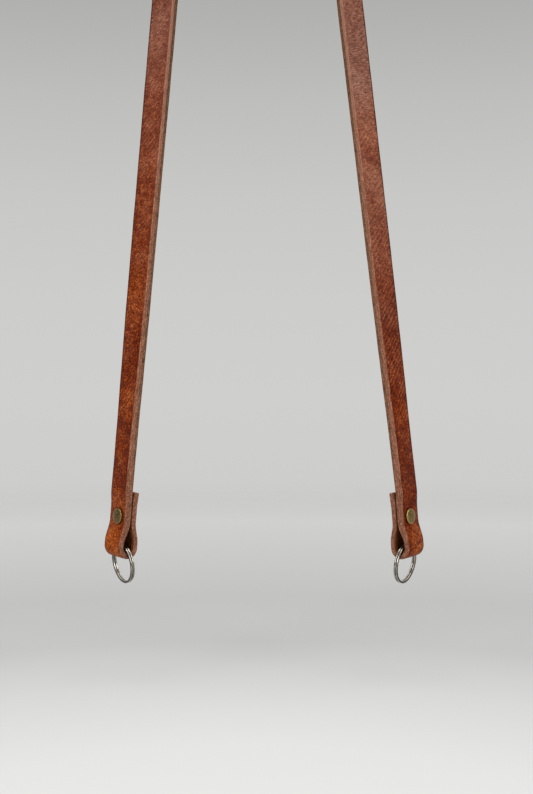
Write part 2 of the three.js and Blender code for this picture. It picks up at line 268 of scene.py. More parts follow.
def fold_path():
    """The fold's middle line as columns of sideways place, height, thickness and inner rounding: down the outer layer,
    half a circle round the bend whose thickness falls evenly, and up the flap, which draws in at its cut end."""
    down = np.concatenate([
        np.linspace(RUN_START, SEAT_TOP, BLEND_CELLS + 1)[1:],
        np.linspace(SEAT_TOP, BEND_HEIGHT, FOLD_CELLS)[1:],
    ])
    back = smoothstep(down, SEAT_TOP, RUN_START)
    outer = [
        lerp(FOLD_MIDDLE + inner_face(down) + PRESSED_THICKNESS / 2, 0.0, back),
        down,
        lerp(PRESSED_THICKNESS, BAND_THICKNESS, back),
        inner_round(down),
    ]
    share = np.linspace(0, 1, BEND_CELLS + 1)[1:]
    thickness = lerp(PRESSED_THICKNESS, FLAP_THICKNESS, share)
    radius = (EYE_WIDTH + thickness) / 2
    bend = [
        FOLD_MIDDLE + radius * np.cos(math.pi * share),
        BEND_HEIGHT - radius * np.sin(math.pi * share),
        thickness,
        np.full_like(share, EYE_ROUND),
    ]
    up = np.concatenate([
        np.linspace(BEND_HEIGHT, SEAT_TOP, FOLD_CELLS)[1:],
        np.linspace(SEAT_TOP, FLAP_HEIGHT - END_ROUND, FLAP_CELLS + 1)[1:],
        FLAP_HEIGHT - END_ROUND * (1 - np.sin(np.linspace(0, math.pi / 2, END_CELLS + 1)[1:])),
    ])
    flap = [
        FOLD_MIDDLE - inner_face(up) - FLAP_THICKNESS / 2 - FLAP_SPLAY * smoothstep(up, SEAT_TOP, FLAP_HEIGHT),
        up,
        np.full_like(up, FLAP_THICKNESS),
        inner_round(up),
    ]
    return np.hstack([outer, bend, flap])


def half_band(half):
    """Stations from the crown to the cut end: the arc over the neck, the straight run and the fold.
    A station is a middle point, its two directions, a thickness, an inner rounding, and what the finish follows."""
    angle = np.linspace(0.0, half.crown_angle, CROWN_CELLS + 1)[:, None]
    crown_out = np.hstack([half.side * np.sin(angle), 0 * angle, np.cos(angle)])
    crown = np.array([0.0, 0.0, CROWN_CENTRE]) + CROWN_RADIUS * crown_out
    heights = np.linspace(half.run_length, RUN_START, RUN_CELLS + 1)[1:]
    run = half.run_origin + heights[:, None] * half.run_up
    out = np.vstack([crown_out, np.tile(half.run_out, (len(heights), 1))])
    share = np.append(1 - CROWN_RADIUS * angle[:, 0] / half.length, heights / half.length)
    grain, across = turned(out, turn_at(share))

    place, height, thickness, rounding = fold_path()
    fold = half.place(place, 0.0, height)
    tangent = np.gradient(np.stack([place, height], axis=1), axis=0)
    tangent /= np.linalg.norm(tangent, axis=1, keepdims=True)
    fold_grain = -tangent[:, 1:] * half.grain + tangent[:, :1] * half.fold_up

    plain = len(share)
    middle = np.vstack([crown, run, fold])
    step = np.linalg.norm(np.diff(middle, axis=0), axis=1)
    bottom = plain + np.argmin(height)
    rows = np.arange(len(middle))
    return {
        "middle": middle,
        "grain": np.vstack([grain, fold_grain]),
        "across": np.vstack([across, np.tile(half.across, (len(place), 1))]),
        "thickness": np.append(np.full(plain, BAND_THICKNESS), thickness),
        "rounding": np.append(np.full(plain, FLESH_ROUND), rounding),
        "along": np.append(0.0, np.cumsum(step)),
        "height": np.append(share * half.length, height),
        "flap": (rows > bottom).astype(float),
        "side": np.full(len(rows), float(half.side)),
    }


def whole_band():
    """Both halves as one run of stations, from the left cut end over the crown to the right one."""
    left, right = (half_band(HALVES[name]) for name in SIDES)
    left["along"] = -left["along"]
    return {key: np.concatenate([left[key][:0:-1], right[key]]) for key in left}


def superellipse(cells, power):
    """Quarter of the curve where the powers of both coordinates add up to one, from (1, 0) to (0, 1)."""
    angle = np.linspace(0, math.pi / 2, cells + 1)
    return np.cos(angle) ** (2 / power), np.sin(angle) ** (2 / power)


def band_outline(face, half, grain_round, flesh_round):
    """The band's section at every station, as depths and widths with one row a station: two flat faces and two edges
    joined by superellipse corners, fuller on the smooth side than on the cut-away inner side."""
    face, half, top, low = (np.asarray(v, float)[:, None] for v in (face, half, grain_round, flesh_round))
    level = np.linspace(-1, 1, FACE_CELLS + 1)[1:-1]
    rise = np.linspace(0, 1, EDGE_CELLS + 1)[1:-1]
    tx, ty = superellipse(CORNER_CELLS, GRAIN_POWER)
    lx, ly = superellipse(CORNER_CELLS, FLESH_POWER)

    def wall(t):
        return lerp(face - top, low - face, t)

    depth = [face + 0 * level, face - top + top * tx, wall(rise), low - face - low * ly]
    width = [(half - top) * level, half - top + top * ty, half + 0 * rise, half - low + low * lx]
    depth += [-face + 0 * level, low - face - low * ly[::-1], wall(rise[::-1]), face - top + top * tx[::-1]]
    width += [(low - half) * level, low - half - low * lx[::-1], -half + 0 * rise, top - half - top * ty[::-1]]
    return np.hstack(depth), np.hstack(width)


def wobble(x, lengths, seed):
    """A slow wander about nought: the mean of sines of the given wavelengths, each with its own phase."""
    phases = np.random.default_rng(seed).uniform(0, 2 * math.pi, len(lengths))
    return sum(np.sin(2 * math.pi * x / size + phase) for size, phase in zip(lengths, phases)) / len(lengths)


def add_object(name, data):
    made = bpy.data.objects.new(name, data)
    bpy.context.scene.collection.objects.link(made)
    return made


def make_mesh(name, points, faces):
    """A smooth piece with its faces outward."""
    mesh = bpy.data.meshes.new(name)
    mesh.from_pydata(points.tolist(), [], faces)
    mesh.validate()
    shell = bmesh.new()
    shell.from_mesh(mesh)
    bmesh.ops.recalc_face_normals(shell, faces=shell.faces)
    shell.to_mesh(mesh)
    shell.free()
    mesh.polygons.foreach_set("use_smooth", np.full(len(mesh.polygons), True))
    return add_object(name, mesh)


def write_attribute(piece, name, values):
    """One value, or one vector, for each point."""
    kind, field = ("FLOAT_VECTOR", "vector") if values.ndim == 2 else ("FLOAT", "value")
    layer = piece.data.attributes.new(name, kind, "POINT")
    layer.data.foreach_set(field, values.astype(np.float32).ravel())


def grid_quads(indices):
    """Quads between neighbouring rows of vertex numbers, each row closed on itself."""
    ahead = np.roll(indices, -1, axis=1)
    return np.stack([indices[:-1], ahead[:-1], ahead[1:], indices[1:]], axis=-1)


def rim_loop(indices, rows, columns):
    """Vertex numbers once round the edge of a block of cells, from its first row and column."""
    first, last = rows
    return np.concatenate([
        indices[first, columns[:-1]],
        indices[first:last, columns[-1]],
        indices[last, columns[:0:-1]],
        indices[last:first:-1, columns[0]],
    ])


def marks(band, table):
    """Sum of bell curves over the band's height, one for each row of the table on its own side, halved on the flap."""
    on_side = band["side"][:, None] == table[:, 0]
    bells = hump(band["height"][:, None], table[:, 1], table[:, 2])
    return (on_side * table[:, 3] * bells).sum(axis=1) * (1 - 0.5 * band["flap"])


def painted_sheen_share(band):
    """Each side's table of painted sheen, in straight lines from height to height, and none on the flap."""
    left, right = (np.interp(band["height"], *PAINTED_SHEEN[side]) for side in SIDES.values())
    return np.where(band["side"] < 0, left, right) * (1 - band["flap"])


def leather_band():
    """The band: its section carried along its stations, and for each rivet a block of cells on each face that gives way
    to a circle, with a straight wall from circle to circle. Round each cap the smooth face follows a bell-shaped moat
    with a lower swell beyond it."""
    band = whole_band()
    along, side = band["along"], band["side"]
    inset = np.where(band["flap"] > 0, end_inset(FLAP_HEIGHT - band["height"], END_ROUND), 0.0)
    free = smoothstep(band["height"], SEAT_TOP, SEAT_TOP + WANDER_START) * (1 - band["flap"])
    face = band["thickness"] / 2 + FACE_WANDER * free * wobble(along, *FACE_WAVES) - inset
    half = BAND_WIDTH / 2 + EDGE_WANDER * free * wobble(along, *EDGE_WAVES) - inset
    depth, width = band_outline(face, half, np.full_like(face, GRAIN_ROUND), band["rounding"])
    slant = np.arctan2(
        np.roll(width, -1, axis=1) - np.roll(width, 1, axis=1),
        np.roll(depth, 1, axis=1) - np.roll(depth, -1, axis=1),
    )
    facing = np.sin(slant)
    grain_side = smoothstep(facing, *GRAIN_FACING)
    flesh_side = smoothstep(-facing, *FLESH_FACING)

    # The leather's own unevenness, and the moat pressed round each cap
    level = width / (BAND_WIDTH / 2)
    crowning = -CROWNING * np.abs(level) ** 5 * grain_side
    uneven = UNEVENNESS * grain_side * wobble(along[:, None] + WAVE_SLANT * width, *UNEVEN_WAVES)
    from_rivet = np.hypot(band["height"][:, None] - RIVET_HEIGHT, width - RIVET_SHIFT)
    cap = CAP_DIAMETER / 2
    near = (band["height"] < RUN_START)[:, None] * grain_side
    moat = near * hump(from_rivet, cap - MOAT_INSET, MOAT_WIDTH)
    lip = near * hump(from_rivet, cap + LIP_OFFSET, LIP_WIDTH)
    flat_from, flat_to = (cap * share for share in FLAT_SHARES)
    beyond = np.where(near > 0, smoothstep(from_rivet, flat_from, flat_to), 1.0)
    depth = depth + beyond * (crowning + uneven) - MOAT_DEPTH * moat + LIP_HEIGHT * lip
    points = band["middle"][:, None] + depth[..., None] * band["grain"][:, None]
    points = points + width[..., None] * band["across"][:, None]

    rows, columns = depth.shape
    indices = np.arange(rows * columns).reshape(rows, columns)
    quads = grid_quads(indices)
    keep = np.ones(quads.shape[:2], bool)
    all_points = [points.reshape(-1, 3)]
    coords = np.stack([width, np.broadcast_to(along[:, None], width.shape), depth], axis=-1)
    all_coords = [coords.reshape(-1, 3)]
    extra = []
    count = rows * columns
    per_point = {
        "grain_side": grain_side,
        "flesh_side": flesh_side,
        "layer": depth / band["thickness"][:, None] + 0.5,
        "press": np.clip(moat, 0, 1),
    }
    per_station = {
        "height": band["height"],
        "patch_and_glow": marks(band, PATCHES_AND_GLOW),
        "creased": marks(band, CREASES),
        "painted_sheen": painted_sheen_share(band),
    }
    for key, values in per_station.items():
        per_point[key] = np.broadcast_to(values[:, None], width.shape)
    added = {key: [values.ravel()] for key, values in per_point.items()}

    # Cells across a face run one way on the smooth side and the other way on the inner side
    grain_columns = np.arange(FACE_CELLS - 1)
    flesh_start = (FACE_CELLS - 1) + 2 * (CORNER_CELLS + 1) + (EDGE_CELLS - 1)
    flesh_columns = flesh_start + np.arange(FACE_CELLS - 1)
    for half_frame in HALVES.values():
        for is_flap, grain_place, flesh_place in (
            (0.0, OUTER_FACE, OUTER_FACE - PRESSED_THICKNESS),
            (1.0, FLAP_FACE, FLAP_FACE + FLAP_THICKNESS),
        ):
            here = (side == half_frame.side) & (band["flap"] == is_flap)
            middle_row = np.argmin(np.where(here, np.abs(band["height"] - RIVET_HEIGHT), np.inf))
            first, last = middle_row - HOLE_REACH, middle_row + HOLE_REACH
            circles = []
            for face_columns, place, flip in ((grain_columns, grain_place, 1), (flesh_columns, flesh_place, -1)):
                middle_column = face_columns[np.argmin(np.abs(width[middle_row, face_columns] - RIVET_SHIFT))]
                block = middle_column + flip * np.arange(-HOLE_REACH, HOLE_REACH + 1)
                rim = rim_loop(indices, (first, last), block)
                keep[first:last, min(block[0], block[-1]):max(block[0], block[-1])] = False
                if not circles:
                    rim_height = np.repeat(band["height"], columns)[rim] - RIVET_HEIGHT
                    rim_width = width.ravel()[rim] - RIVET_SHIFT
                    angle = np.arctan2(rim_height, rim_width)
                circle_width = RIVET_SHIFT + HOLE_RADIUS * np.cos(angle)
                circle_height = RIVET_HEIGHT + HOLE_RADIUS * np.sin(angle)
                circle = count + np.arange(len(rim))
                count += len(rim)
                all_points.append(half_frame.place(place, circle_width, circle_height))
                rim_coords = coords.reshape(-1, 3)[rim]
                rim_coords[:, 0] = circle_width
                all_coords.append(rim_coords)
                for key, values in per_point.items():
                    added[key].append(values.ravel()[rim])
                extra.append(grid_quads(np.stack([rim, circle]))[0])
                circles.append(circle)
            extra.append(grid_quads(np.stack(circles))[0])

    faces = [*np.concatenate([quads[keep], *extra]).tolist(), indices[0].tolist(), indices[-1].tolist()]
    piece = make_mesh("leather_band", np.concatenate(all_points) * MM, faces)
    write_attribute(piece, "band", np.concatenate(all_coords))
    for key, parts in added.items():
        write_attribute(piece, key, np.concatenate(parts))
    return piece


def circle_rows(radius, cells):
    """Points evenly round a circle of each radius, one row a circle: the radius times the angle's cosine and sine."""
    angle = np.linspace(0, 2 * math.pi, cells, endpoint=False)
    return np.stack([np.outer(radius, np.cos(angle)), np.outer(radius, np.sin(angle))], axis=-1)


def lathe(profile, cells):
    """A closed shape turned about its axis: each profile row of radius and height swept round, its ends on the axis
    drawn together to one point. Returns points with the axis along the last coordinate, and faces."""
    radius, height = profile.T
    ring = np.dstack([circle_rows(radius[1:-1], cells), np.outer(height[1:-1], np.ones(cells))])
    points = np.concatenate([[[0, 0, height[0]]], ring.reshape(-1, 3), [[0, 0, height[-1]]]])
    indices = 1 + np.arange(len(radius[1:-1]) * cells).reshape(-1, cells)
    quads = grid_quads(indices).reshape(-1, 4).tolist()
    first, last = indices[0], indices[-1]
    fans = [(0, b, a) for a, b in zip(first.tolist(), np.roll(first, -1).tolist())]
    fans += [(len(points) - 1, a, b) for a, b in zip(last.tolist(), np.roll(last, -1).tolist())]
    return points, quads + fans


def cap_profile():
    """From the top of the dome to under the rim: a shallow arc of a sphere, a quarter round turned over at the rim,
    and a short tuck back in against the leather."""
    dome_cells, rim_cells, _ = CAP_CELLS
    radius = CAP_DIAMETER / 2
    dome = CAP_HEIGHT - RIM_DEPTH
    reach = radius - RIM_ROLL
    sphere = (reach**2 + dome**2) / (2 * dome)
    swing = np.linspace(0, math.asin(reach / sphere), dome_cells)
    arc = np.stack([sphere * np.sin(swing), CAP_HEIGHT - sphere * (1 - np.cos(swing))], axis=1)
    start = swing[-1]
    bend = np.linspace(start, RIM_TURN, rim_cells)[1:]
    edge = np.stack([
        reach - RIM_ROLL * math.sin(start) + RIM_ROLL * np.sin(bend),
        arc[-1, 1] - RIM_ROLL * math.cos(start) + RIM_ROLL * np.cos(bend),
    ], axis=1)
    tuck = np.array([[radius - RIM_TUCK, -PART_GAP]])
    return np.vstack([arc, edge, tuck])


def rivet_piece(name, half, front):
    """One half of a rivet: the cap's profile, then the solid post or the hollow tube, turned about the rivet's axis."""
    grip = OUTER_FACE - FLAP_FACE + 2 * PART_GAP
    end = -(grip - PART_GAP)
    post = POST_DIAMETER / 2
    bore = post + PART_GAP
    if front:
        stem = [[post, -PART_GAP], [post, end + STEM_CHAMFER], [post - STEM_CHAMFER, end], [0, end]]
    else:
        tube = bore + TUBE_WALL
        stem = [[tube, -PART_GAP], [tube, end], [bore, end], [bore, 0], [0, 0]]
    points, faces = lathe(np.vstack([cap_profile(), stem]), CAP_CELLS[-1])
    outward, seat = (1, OUTER_FACE + PART_GAP) if front else (-1, FLAP_FACE - PART_GAP)
    placed = half.place(seat + outward * points[:, 2], RIVET_SHIFT + points[:, 0], RIVET_HEIGHT + points[:, 1])
    piece = make_mesh(name, placed * MM, faces)
    write_attribute(piece, "disc", points)
    write_attribute(piece, "tarnish", np.full(len(points), TARNISH[half.side]))
    return piece


def about(axis, angle):
    """Turn about one of the three axes, as a matrix for column vectors."""
    cos, sin = math.cos(angle), math.sin(angle)
    first, second = [(1, 2), (2, 0), (0, 1)][axis]
    matrix = np.eye(3)
    matrix[[first, first, second, second], [first, second, first, second]] = cos, -sin, sin, cos
    return matrix


def split_ring(name, half):
    """The wire's rounded section carried twice round the ring's axis, stepping aside by one pitch before it passes its
    own start. Then it is turned and hung on the axle through the middle of the bend."""
    middle = (RING_DIAMETER - WIRE_DEPTH) / 2
    pitch = WIRE_BREADTH + TURN_GAP
    end_gap = TURN_GAP / middle
    sweep = 4 * math.pi - STEP_ANGLE - end_gap
    cells, sides, end_cells = WIRE_CELLS
    tip = WIRE_ROUND / middle
    nib = np.sin(np.linspace(0, math.pi / 2, end_cells + 1))
    angle = np.concatenate([tip * (1 - nib[::-1]), np.linspace(tip, sweep - tip, cells)[1:-1], sweep - tip * (1 - nib)])
    shrink = end_inset(np.minimum(angle, sweep - angle) * middle, WIRE_ROUND)
    around = np.linspace(0, 2 * math.pi, sides, endpoint=False)
    power = 2 / WIRE_POWER
    axial = np.sign(np.cos(around)) * np.abs(np.cos(around)) ** power
    radial = np.sign(np.sin(around)) * np.abs(np.sin(around)) ** power
    shift = pitch * (smoothstep(angle, 2 * math.pi - STEP_ANGLE - end_gap, 2 * math.pi - end_gap) - 0.5)
    side = shift[:, None] + (WIRE_BREADTH / 2 - shrink)[:, None] * axial
    radius = middle + (WIRE_DEPTH / 2 - shrink)[:, None] * radial
    # Each cut end is slanted, so that its outer side reaches on along the wire that crosses over
    to_start = END_LEAN * np.clip(1 - angle / (2 * END_LEAN), 0, 1)
    to_end = END_LEAN * np.clip(1 - (sweep - angle) / (2 * END_LEAN), 0, 1)
    where = angle[:, None] + (np.outer(to_end, 1 + axial) - np.outer(to_start, 1 - axial)) / 2
    local = np.stack([side, radius * np.cos(where), radius * np.sin(where)], axis=-1)

    crossing = STEP_ANGLE / 2 - half.side * SPLIT_ANGLE + (math.pi if half.side > 0 else 0.0)
    spin = about(2, half.side * math.radians(RING_YAW)) @ about(0, crossing)
    wire_at_edge = math.sqrt((RING_DIAMETER / 2 - WIRE_DEPTH) ** 2 - (BAND_WIDTH / 2) ** 2)
    drop = wire_at_edge + EYE_WIDTH / 2 + EYE_BEVEL - RING_CLEARANCE
    hung = (local @ spin.T + [0.0, 0.0, -drop]) @ about(1, math.radians(RING_SWING)).T
    hung += [FOLD_MIDDLE, 0.0, BEND_HEIGHT]
    # Up crossed with the smooth face's direction points to the front on one side and to the back on the other
    second = np.cross(half.fold_up, half.grain)
    placed = half.fold_origin + hung @ np.array([half.grain, second, half.fold_up])

    rows, columns = placed.shape[:2]
    indices = np.arange(rows * columns).reshape(rows, columns)
    faces = [*grid_quads(indices).reshape(-1, 4).tolist(), indices[0].tolist(), indices[-1].tolist()]
    piece = make_mesh(name, placed.reshape(-1, 3) * MM, faces)
    along = np.broadcast_to((angle * middle)[:, None], (rows, columns))
    round_wire = np.broadcast_to(around * WIRE_RADIUS, (rows, columns))
    write_attribute(piece, "wire", np.stack([along, round_wire, 0 * along], axis=-1).reshape(-1, 3))
    write_attribute(piece, "groove", np.broadcast_to(np.abs(axial), (rows, columns)).ravel())
    return piece


# Materials

def feed(tree, target, inputs):
    """Gives each named input of a node its value, or the output socket that feeds it."""
    for name, value in inputs.items():
        if isinstance(value, bpy.types.NodeSocket):
            tree.links.new(value, target.inputs[name])
        else:
            target.inputs[name].default_value = value


def node(tree, kind, inputs=None, **settings):
    """Adds a shader node with its settings and inputs."""
    made = tree.nodes.new("ShaderNode" + kind)
    for name, value in settings.items():
        setattr(made, name, value)
    feed(tree, made, inputs or {})
    return made


def colour(red, green, blue):
    """Linear colour of the usual screen values from 0 to 255."""
    values = np.array([red, green, blue]) / 255
    linear = np.where(values <= 0.04045, values / 12.92, ((values + 0.055) / 1.055) ** 2.4)
    return (*linear.tolist(), 1.0)


def attribute(tree, name, output="Fac"):
    """The piece's own value at each point, or its vector."""
    return node(tree, "Attribute", attribute_name=name).outputs[output]


def calc(tree, operation, a, b=0.0, clamp=False):
    return node(tree, "Math", {0: a, 1: b}, operation=operation, use_clamp=clamp).outputs[0]


def vector_calc(tree, operation, inputs, output="Vector"):
    return node(tree, "VectorMath", inputs, operation=operation).outputs[output]


def times(tree, a, b, clamp=False):
    return calc(tree, "MULTIPLY", a, b, clamp)


def held(tree, value):
    """Value kept between nought and one."""
    return times(tree, value, 1.0, clamp=True)


def blend(tree, factor, a, b):
    return node(tree, "Mix", {0: factor, 6: a, 7: b}, data_type="RGBA").outputs[2]


def blend_values(tree, factor, a, b):
    return node(tree, "Mix", {0: factor, 2: a, 3: b}, data_type="FLOAT").outputs[0]


def span(tree, value, low, high, to_low=0.0, to_high=1.0):
    """Value taken smoothly from one span to another and held at its ends."""
    inputs = {"Value": value, "From Min": low, "From Max": high, "To Min": to_low, "To Max": to_high}
    return node(tree, "MapRange", inputs, interpolation_type="SMOOTHSTEP").outputs["Result"]


def noise(tree, vector, scale, detail=3.0, roughness=0.5, distortion=0.0):
    inputs = {"Vector": vector, "Scale": scale, "Detail": detail, "Roughness": roughness, "Distortion": distortion}
    return node(tree, "TexNoise", inputs).outputs["Fac"]


def stretched(tree, vector, turn, scale):
    """Pattern coordinates drawn out along an axis turned by so many degrees, by so much on each turned axis."""
    inputs = {"Vector": vector, "Rotation": (0.0, 0.0, math.radians(turn)), "Scale": scale}
    return node(tree, "Mapping", inputs, vector_type="TEXTURE").outputs[0]


def new_group(name, inputs, outputs):
    """An empty node group, with its input and output nodes."""
    tree = bpy.data.node_groups.new(name, "ShaderNodeTree")
    for title, kind, default in inputs:
        socket = tree.interface.new_socket(title, in_out="INPUT", socket_type="NodeSocket" + kind)
        if default is not None:
            socket.default_value = default
    for title, kind in outputs:
        tree.interface.new_socket(title, in_out="OUTPUT", socket_type="NodeSocket" + kind)
    return tree, tree.nodes.new("NodeGroupInput"), tree.nodes.new("NodeGroupOutput")


def hide_grain_group():
    """Leather grain: rounded pebbles, each bordered by a fine valley, and slanting creases that come and go."""
    tree, given, made = new_group(
        "hide_grain",
        [("Vector", "Vector", None), ("Pebble Size", "Float", 0.8),
         ("Creased", "Float", 1.0)],
        [("Height", "Float"), ("Valley", "Float"), ("Crease", "Float"),
         ("Pebble", "Float")],
    )
    vector = given.outputs["Vector"]
    drift = node(tree, "TexNoise", {"Vector": vector, "Scale": 0.9, "Detail": 2.0}).outputs["Color"]
    centred = vector_calc(tree, "SUBTRACT", {0: drift, 1: (0.5, 0.5, 0.5)})
    moved = vector_calc(tree, "SCALE", {0: centred, "Scale": 0.9})
    bent = vector_calc(tree, "ADD", {0: vector, 1: moved})
    frequency = calc(tree, "DIVIDE", 1.0, given.outputs["Pebble Size"])
    lattice = {"Vector": bent, "Scale": frequency, "Randomness": 0.95}
    cells = node(tree, "TexVoronoi", lattice, feature="DISTANCE_TO_EDGE").outputs["Distance"]
    pebble = node(tree, "TexVoronoi", lattice, feature="F1").outputs["Color"]
    pebble = node(tree, "SeparateXYZ", {0: pebble}).outputs["X"]
    valley = span(tree, cells, 0.0, 0.2, 1.0, 0.0)
    ridges = {"Scale": 0.145, "Distortion": 4.2, "Detail": 2.0, "Detail Scale": 1.0}
    ridges["Vector"] = stretched(tree, vector, 46.0, (1.0, 1.0, 1.0))
    slant = node(tree, "TexWave", ridges, bands_direction="Y").outputs["Fac"]
    other = noise(tree, stretched(tree, bent, -50.0, (4.0, 1.0, 1.0)), 1.0, 1.0, 0.5)
    where = off_centre(tree, noise(tree, vector, 0.12, 2.0), 2.0)
    here = calc(tree, "ADD", given.outputs["Creased"], where, clamp=True)
    across = calc(tree, "SUBTRACT", times(tree, here, 0.5), where, clamp=True)
    slanting = times(tree, off_centre(tree, slant, 1.0), here)
    crossing = times(tree, off_centre(tree, span(tree, other, 0.4, 0.55), 0.8), across)
    crease = total(tree, slanting, crossing)
    fine = noise(tree, vector, 5.0, 3.0, 0.6)
    dome = span(tree, cells, 0.0, 0.35)
    height = total(tree, times(tree, fine, 0.4), times(tree, dome, 0.7), crease)
    feed(tree, made, {"Height": height, "Valley": valley, "Crease": crease, "Pebble": pebble})
    return tree


def scuff_group():
    """Fine scratches in two directions and soft smears, as masks over a surface."""
    tree, given, made = new_group(
        "scuffs",
        [("Vector", "Vector", None), ("Density", "Float", 1.0)],
        [("Scratch", "Float"), ("Smear", "Float")],
    )
    vector = given.outputs["Vector"]
    scratches = []
    for turn, seed_scale in ((68.0, 3.1), (-24.0, 2.3)):
        lines = noise(tree, stretched(tree, vector, turn, (16.0, 1.0, 1.0)), seed_scale, 2.0, 0.5, 0.15)
        scratches.append(span(tree, lines, 0.66, 0.74))
    both = calc(tree, "MAXIMUM", *scratches)
    patches = span(tree, noise(tree, vector, 0.12, 2.0), 0.45, 0.62)
    scratch = times(tree, times(tree, both, patches), given.outputs["Density"], clamp=True)
    smear = span(tree, noise(tree, vector, 0.35, 5.0, 0.65), 0.4, 0.7)
    feed(tree, made, {"Scratch": scratch, "Smear": smear})
    return tree


def grouped(tree, group, inputs):
    return node(tree, "Group", inputs, node_tree=group)


def new_material(name):
    material = bpy.data.materials.new(name)
    material.use_nodes = True
    tree = material.node_tree
    return material, tree, tree.nodes["Principled BSDF"]


def bump(tree, height, strength, distance):
    return node(tree, "Bump", {"Height": height, "Strength": strength, "Distance": distance}).outputs["Normal"]


def ramp(tree, factor, stops):
    """Colour by factor, from rows of position and colour."""
    made = node(tree, "ValToRGB", {"Fac": factor})
    elements = made.color_ramp.elements
    for position, _ in stops[1:-1]:
        elements.new(position)
    for element, (position, tint) in zip(elements, stops):
        element.position, element.color = position, tint
    return made.outputs["Color"]


def greys(tree, factor, levels):
    """Faintly warm grey by factor, from rows of position and level."""
    return ramp(tree, factor, [(position, (level, level, 0.985 * level, 1.0)) for position, level in levels])


def three_tones(tree, factor, low, middle, high, first=0.0, last=1.0):
    """Dark, middle and light colour by factor, in screen values, the outer two at the positions given."""
    return ramp(tree, factor, [(first, colour(*low)), (0.5, colour(*middle)), (last, colour(*high))])


def off_centre(tree, value, weight):
    """How far a pattern value is from its middle, times a weight."""
    return times(tree, calc(tree, "SUBTRACT", value, 0.5), weight)


def total(tree, *values):
    result = values[0]
    for value in values[1:]:
        result = calc(tree, "ADD", result, value)
    return result


